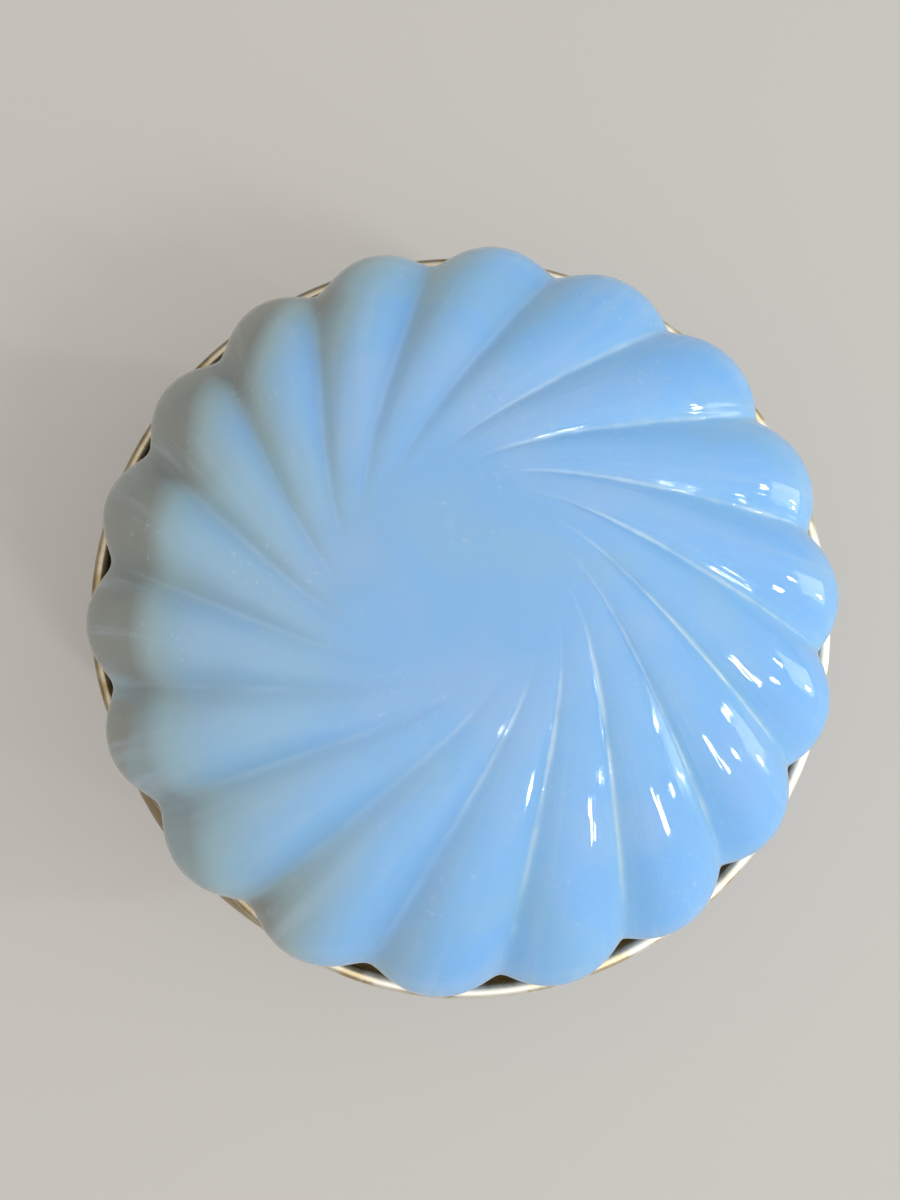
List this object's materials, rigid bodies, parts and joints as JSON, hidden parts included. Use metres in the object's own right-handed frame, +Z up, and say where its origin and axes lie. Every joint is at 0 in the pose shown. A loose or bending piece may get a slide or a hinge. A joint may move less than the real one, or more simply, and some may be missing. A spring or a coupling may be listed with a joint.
{
  "type": "screw-lid cream jar",
  "caption": "Round fluted glass cream jar with a swirled glass dome set in a gilt metal screw lid that turns and rises on its thread.",
  "frame": {"origin": "centre of the base, on the surface that the jar stands on", "axes": "+Z up along the jar's axis; +X to the right and +Y away, as seen from the front"},
  "size_m": [0.0944, 0.0944, 0.0749],
  "materials": {
    "opal_glass_jar": "glossy opalescent blue, faintly amber where thin",
    "opal_glass_lid": "glossy opalescent blue, faintly amber where thin",
    "gilt_metal": "lacquered gilt, lightly brushed and worn",
    "cap_plastic": "moulded, satin",
    "pulpboard": "fibrous, matte",
    "liner_vinyl": "smooth film",
    "cement": "dark, matte, slightly grainy",
    "label_paper": "blank, matte"
  },
  "bodies": {
    "jar": {"jar_body": "opal_glass_jar", "base_label": "label_paper"},
    "liner": {"liner_facing": "liner_vinyl", "liner_board": "pulpboard"},
    "lid": {"inner_cap": "cap_plastic", "lid_shell": "gilt_metal", "lid_cement": "cement", "lid_dome": "opal_glass_lid"}
  },
  "joints": [
    {"name": "lid_rise", "type": "slide", "parent": "jar", "child": "liner", "axis": [0, 0, 1], "range_m": [0, 0.0251]},
    {"name": "lid_turn", "type": "hinge", "parent": "liner", "child": "lid", "pos_m": [0, 0, 0.042], "axis": [0, 0, 1], "range_deg": [0, 900]}
  ],
  "couplings": [
    {"joint": "lid_rise", "follows": "lid_turn", "m_per_rad": 0.0015915}
  ]
}
